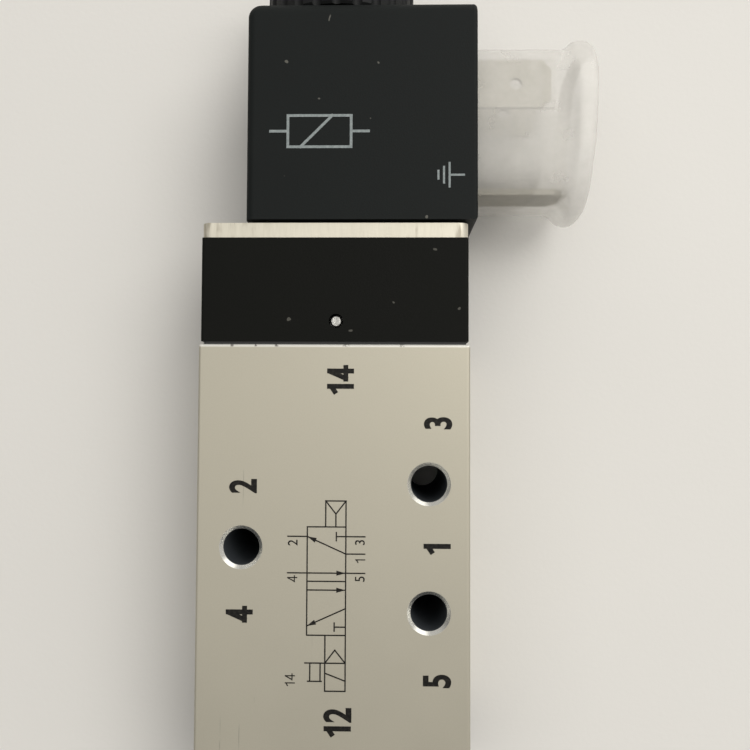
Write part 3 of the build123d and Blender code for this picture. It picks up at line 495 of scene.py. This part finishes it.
# ---------------------------------------------------------------- pilot housing and end cap
# Black glass-filled plastic, slightly rough, with specks of grey dust. Each is
# screwed to one end of the body.
def black_moulding_finish(name, low, high, roughness, gloss, dust_amount):
    material, shader, place = new_finish(name, Specular_IOR_Level=gloss)
    texture = noise(place, 0.25, 3.0, roughness=0.65)
    cloud = noise(place, 7.0, 3.0)
    dust = noise(place, 1.4, 1.0).rise(0.775, 0.80) * dust_amount
    base = cloud.blend(low, high)
    dust.blend(base, colour(0.30, 0.29, 0.25)).into(shader.inputs["Base Color"])
    (roughness + 0.15 * texture + 0.1 * cloud).into(shader.inputs["Roughness"])
    bump(texture + dust, shader, 0.02)
    return material


cover_black = black_moulding_finish(
    "black_cover", colour(0.0040, 0.0044, 0.0034), colour(0.0062, 0.0064, 0.0052), 0.45, 0.08, 0.25
)
dress(cover_black, "pilot_housing", "end_cap")


# ---------------------------------------------------------------- coil
# Windings moulded into matt black plastic, with a few specks of dust. A coil
# symbol and an earth sign are pad printed on it in pale grey.
coil_black = black_moulding_finish(
    "coil_black", colour(0.0060, 0.0076, 0.0074), colour(0.0090, 0.0108, 0.0104), 0.48, 0.13, 0.35
)
dress(coil_black, "coil_housing")
white_ink = ink_finish("white_print", colour(0.22, 0.25, 0.25), colour(0.30, 0.33, 0.33))
coil_symbol = [
    ((-6.0, 50.2), (2.0, 50.2)),
    ((2.0, 50.2), (2.0, 54.2)),
    ((2.0, 54.2), (-6.0, 54.2)),
    ((-6.0, 54.2), (-6.0, 50.2)),
    ((-4.4, 50.2), (-0.4, 54.2)),
    ((-8.2, 52.2), (-6.0, 52.2)),
    ((2.0, 52.2), (4.2, 52.2)),
]
earth_symbol = [
    ((14.4, 45.1), (14.4, 48.1)),
    ((13.7, 45.6), (13.7, 47.6)),
    ((13.0, 46.1), (13.0, 47.1)),
    ((14.4, 46.6), (16.2, 46.6)),
]
coil_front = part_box("coil_housing")[1].z + ink_gap + ink_thickness / 2
coil_marks = [
    print_line([v * MM for v in start], [v * MM for v in end], width * MM, coil_front + layer * ink_step)
    for lines, width in ((coil_symbol, 0.34), (earth_symbol, 0.26))
    for layer, (start, end) in enumerate(lines)
]
join_print("coil_marks", coil_marks, white_ink, "coil")
nut_black = black_moulding_finish(
    "nut_black", colour(0.0080, 0.0085, 0.0085), colour(0.0125, 0.0130, 0.0130), 0.42, 0.15, 0.25
)
dress(nut_black, "coil_nut")


# ---------------------------------------------------------------- bright metal parts
# Blades, pins, screws, tube, spool, springs and windings. Each kind of metal
# has its own colour, lay of tool marks and wear.
def metal_finish(name, low, high, roughness, mark_size, stretch, depth=0.01, metallic=1.0):
    material, shader, place = new_finish(name, Metallic=metallic)
    marks = noise(place, mark_size, 3.0, stretch, roughness=0.6)
    cloud = noise(place, 3.0, 3.0)
    (0.6 * marks + 0.4 * cloud).blend(low, high).into(shader.inputs["Base Color"])
    (roughness + 0.18 * marks).into(shader.inputs["Roughness"])
    bump(marks, shader, depth)
    return material


dress(
    metal_finish(
        "tinned_blade", colour(0.31, 0.29, 0.235), colour(0.43, 0.405, 0.335),
        0.30, 0.3, (0.1, 1, 1), metallic=0.4
    ),
    "terminal_1", "terminal_2", "terminal_earth",
)
dress(
    metal_finish(
        "bright_steel", colour(0.55, 0.55, 0.53), colour(0.80, 0.80, 0.78),
        0.18, 0.2, (1, 1, 1)
    ),
    "drilling_plug", "coil_end_stack_washer", "cap_end_stack_washer",
)
dress(
    metal_finish(
        "pin_steel", colour(0.10, 0.10, 0.09), colour(0.75, 0.74, 0.70),
        0.30, 0.35, (1, 1, 1), 0.08
    ),
    "override_pin",
)
dress(
    metal_finish(
        "zinc_screw", colour(0.50, 0.51, 0.53), colour(0.68, 0.69, 0.71),
        0.28, 0.3, (1, 1, 1)
    ),
    "housing_screws", "end_screws",
)
dress(
    metal_finish(
        "stainless_tube", colour(0.48, 0.48, 0.47), colour(0.62, 0.62, 0.61),
        0.22, 0.15, (0.2, 1, 0.2)
    ),
    "operator_tube", "fixed_core", "armature",
)
dress(
    metal_finish(
        "spool_aluminium", colour(0.66, 0.66, 0.65), colour(0.80, 0.80, 0.79),
        0.2, 0.1, (0.1, 1, 0.1)
    ),
    "spool",
)
dress(
    metal_finish(
        "turned_brass", colour(0.60, 0.44, 0.18), colour(0.78, 0.62, 0.30),
        0.22, 0.15, (0.2, 1, 0.2)
    ),
    "pilot_seat", "nut_insert", "override_plug",
)
dress(
    metal_finish(
        "spring_steel", colour(0.38, 0.38, 0.38), colour(0.55, 0.55, 0.55),
        0.25, 0.1, (1, 1, 1)
    ),
    "armature_spring", "override_spring",
)
dress(
    metal_finish(
        "yoke_steel", colour(0.36, 0.36, 0.37), colour(0.50, 0.50, 0.52),
        0.32, 0.5, (1, 1, 1)
    ),
    "coil_yoke",
)
dress(
    metal_finish(
        "copper_wire", colour(0.42, 0.14, 0.06), colour(0.72, 0.34, 0.18),
        0.2, 0.12, (0.05, 1, 0.05), 0.05
    ),
    "coil_winding",
)


# ---------------------------------------------------------------- clamp plate
# Sawn aluminium plate over the pilot housing: bright, with lines across its
# edge and brownish scuffs near both ends.
def plate_finish():
    material, shader, place = new_finish("bright_plate")
    lines = noise(place, 0.35, 3.0, (1, 0.12, 0.12))
    cloud = noise(place, 2.5, 3.0)
    metal = (0.6 * lines + 0.4 * cloud).blend(colour(0.52, 0.49, 0.40), colour(0.74, 0.70, 0.60))
    across = place.node("SeparateXYZ", {}, {0: place}, 0)
    ends = (across * across).root().rise(7 * MM, 12 * MM)
    scuffs = ends * noise(place, 0.8, 4.0, (1, 0.15, 0.15)).rise(0.48, 0.62) * cloud.rise(0.3, 0.6)
    (0.6 * scuffs).blend(metal, colour(0.27, 0.23, 0.16)).into(shader.inputs["Base Color"])
    (0.55 - 0.3 * scuffs).into(shader.inputs["Metallic"])
    (0.42 + 0.2 * lines).into(shader.inputs["Roughness"])
    bump(lines - 0.4 * scuffs, shader, 0.02)
    return material


dress(plate_finish(), "clamp_plate")


# ---------------------------------------------------------------- rubber and plastic inside
# Moulded seals and gaskets of black rubber, acetal pistons and cages, and the
# nylon bobbin under the windings.
def soft_finish(name, low, high, roughness):
    material, shader, place = new_finish(name)
    texture = noise(place, 0.4, 3.0)
    texture.blend(low, high).into(shader.inputs["Base Color"])
    (roughness + 0.15 * texture).into(shader.inputs["Roughness"])
    bump(texture, shader, 0.01)
    return material


rubber = soft_finish("black_rubber", colour(0.012, 0.012, 0.012), colour(0.025, 0.025, 0.024), 0.55)
dress(rubber, *[name for name in nodes if "seal" in name or "gasket" in name])
acetal = soft_finish("white_acetal", colour(0.70, 0.70, 0.66), colour(0.78, 0.78, 0.75), 0.35)
dress(acetal, "pilot_piston", "return_piston", *[name for name in nodes if "cage" in name])
nylon = soft_finish("nylon_bobbin", colour(0.62, 0.60, 0.50), colour(0.70, 0.68, 0.58), 0.4)
dress(nylon, "coil_bobbin")


# ---------------------------------------------------------------- terminal cap
# Soft milky plastic cap pushed over the blades. Its outer end flares into a
# rounded grip rim, and its thick end has slits that hold the blade tips.
cap_low, cap_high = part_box("terminal_cap")
cap_middle = (cap_low + cap_high) / 2
cap_floor = cap_low.x + 8.5 * MM
# A ring is its place along the cap, half its height, half its depth and its
# squareness: 2 is an oval, and a larger number is nearer to a rectangle.
straight = (9.8, 9.3, 5.0)
cap_rings = [
    (10.3, *straight),
    (11.2, 9.87, 9.33, 4.6),
    (11.9, 10.30, 9.50, 4.0),
    (12.4, 10.95, 9.80, 3.4),
    (12.85, 11.60, 10.10, 2.9),
    (13.25, 12.00, 10.32, 2.6),
    (13.8, 12.18, 10.39, 2.5),
    (14.4, 12.18, 10.39, 2.5),
    (14.9, 12.08, 10.30, 2.5),
    (15.3, 11.82, 10.08, 2.5),
    (15.6, 11.45, 9.75, 2.5),
    (15.77, 11.00, 9.30, 2.5),
    (15.8, 10.60, 8.90, 2.5),
    (15.75, 10.20, 8.50, 2.5),
    (15.5, 9.95, 8.30, 2.6),
    (13.85, 9.80, 8.15, 2.8),
    (13.6, 9.55, 7.90, 2.8),
]
cavity_rings = [
    (0.0, 8.9, 8.4, 5.0),
    (7.9, 8.85, 8.35, 5.0),
    (8.4, 8.70, 8.20, 4.8),
    (8.5, 8.40, 7.90, 4.6),
]


def cap_finish():
    material, shader, place = new_finish("clear_cap", IOR=1.45, Specular_IOR_Level=0.3)
    haze = noise(place, 3.0, 3.0)
    haze.blend(colour(0.76, 0.74, 0.69), colour(0.82, 0.80, 0.76)).into(shader.inputs["Base Color"])
    (0.265 + 0.11 * haze).into(shader.inputs["Alpha"])
    (0.25 + 0.2 * haze).into(shader.inputs["Roughness"])
    bump(haze, shader, 0.015)
    return material


def bend_ring(piece, old, new):
    """Move the selected ring from its old shape to its new one. The rim is shorter on its lower half."""
    bpy.ops.object.mode_set(mode="OBJECT")
    distance, half_height, half_depth, squareness = new
    for vertex in piece.data.vertices:
        if vertex.select:
            y = (vertex.co.y - cap_middle.y) / (old[1] * MM)
            z = (vertex.co.z - cap_middle.z) / (old[2] * MM)
            turn = atan2(copysign(abs(z) ** (old[3] / 2), z), copysign(abs(y) ** (old[3] / 2), y))
            along, up = cos(turn), sin(turn)
            lower = min(max(0.5 - along, 0), 1)
            vertex.co.x = cap_low.x + (distance - 0.17 * lower * max(0, distance - 11)) * MM
            vertex.co.y = cap_middle.y + copysign(abs(along) ** (2 / squareness), along) * half_height * MM
            vertex.co.z = cap_middle.z + copysign(abs(up) ** (2 / squareness), up) * half_depth * MM
    bpy.ops.object.mode_set(mode="EDIT")


def pick_ring(piece, x):
    """Select only the open ring at x."""
    bpy.ops.mesh.select_all(action="DESELECT")
    bpy.ops.object.mode_set(mode="OBJECT")
    for vertex in piece.data.vertices:
        vertex.select = abs(vertex.co.x - x) < 0.001 * MM
    bpy.ops.object.mode_set(mode="EDIT")
    bpy.ops.mesh.select_mode(type="VERT")


bpy.ops.object.select_all(action="DESELECT")
bpy.ops.mesh.primitive_cylinder_add(
    vertices=96,
    radius=1 * MM,
    depth=1 * MM,
    end_fill_type="NOTHING",
    location=(cap_low.x + 0.5 * MM, cap_middle.y, cap_middle.z),
    rotation=(0, pi / 2, 0),
)
cap = bpy.context.object
cap.name = "terminal_cap_moulding"
bpy.ops.object.transform_apply(location=True, rotation=True, scale=True)
bpy.ops.object.mode_set(mode="EDIT")
mouth_ring = (0.0, *straight)
pick_ring(cap, cap_low.x)
bend_ring(cap, (0.0, 1, 1, 2), mouth_ring)
pick_ring(cap, cap_low.x + 1 * MM)
bend_ring(cap, (1.0, 1, 1, 2), (1.0, *straight))
for first_ring, rings in (((1.0, *straight), cap_rings), (mouth_ring, cavity_rings)):
    pick_ring(cap, cap_low.x + first_ring[0] * MM)
    last_ring = first_ring
    for ring in rings:
        bpy.ops.mesh.extrude_edges_move()
        bend_ring(cap, last_ring, ring)
        last_ring = ring
    bpy.ops.mesh.edge_face_add()
bpy.ops.mesh.select_all(action="SELECT")
bpy.ops.mesh.normals_make_consistent(inside=False)
bpy.ops.object.mode_set(mode="OBJECT")

slits = []
for name in ("terminal_1", "terminal_2", "terminal_earth"):
    low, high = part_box(name)
    size = high - low
    bpy.ops.object.select_all(action="DESELECT")
    slit_start = cap_floor - 0.5 * MM
    slit_end = high.x + 0.5 * MM
    bpy.ops.mesh.primitive_cube_add(
        size=1,
        location=((slit_start + slit_end) / 2, (low.y + high.y) / 2, (low.z + high.z) / 2),
        scale=(slit_end - slit_start, size.y + 0.1 * MM, size.z + 0.1 * MM),
    )
    slits.append(bpy.context.object)
for slit in slits:
    bpy.ops.object.select_all(action="DESELECT")
    bpy.context.view_layer.objects.active = cap
    cap.select_set(True)
    cutter = cap.modifiers.new("slit", "BOOLEAN")
    cutter.operation = "DIFFERENCE"
    cutter.object = slit
    bpy.ops.object.modifier_apply(modifier="slit")
    bpy.data.objects.remove(slit)
bpy.ops.object.shade_smooth_by_angle(angle=radians(35))
cap.data.materials.append(cap_finish())
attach(cap, "cap")
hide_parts("terminal_cap")
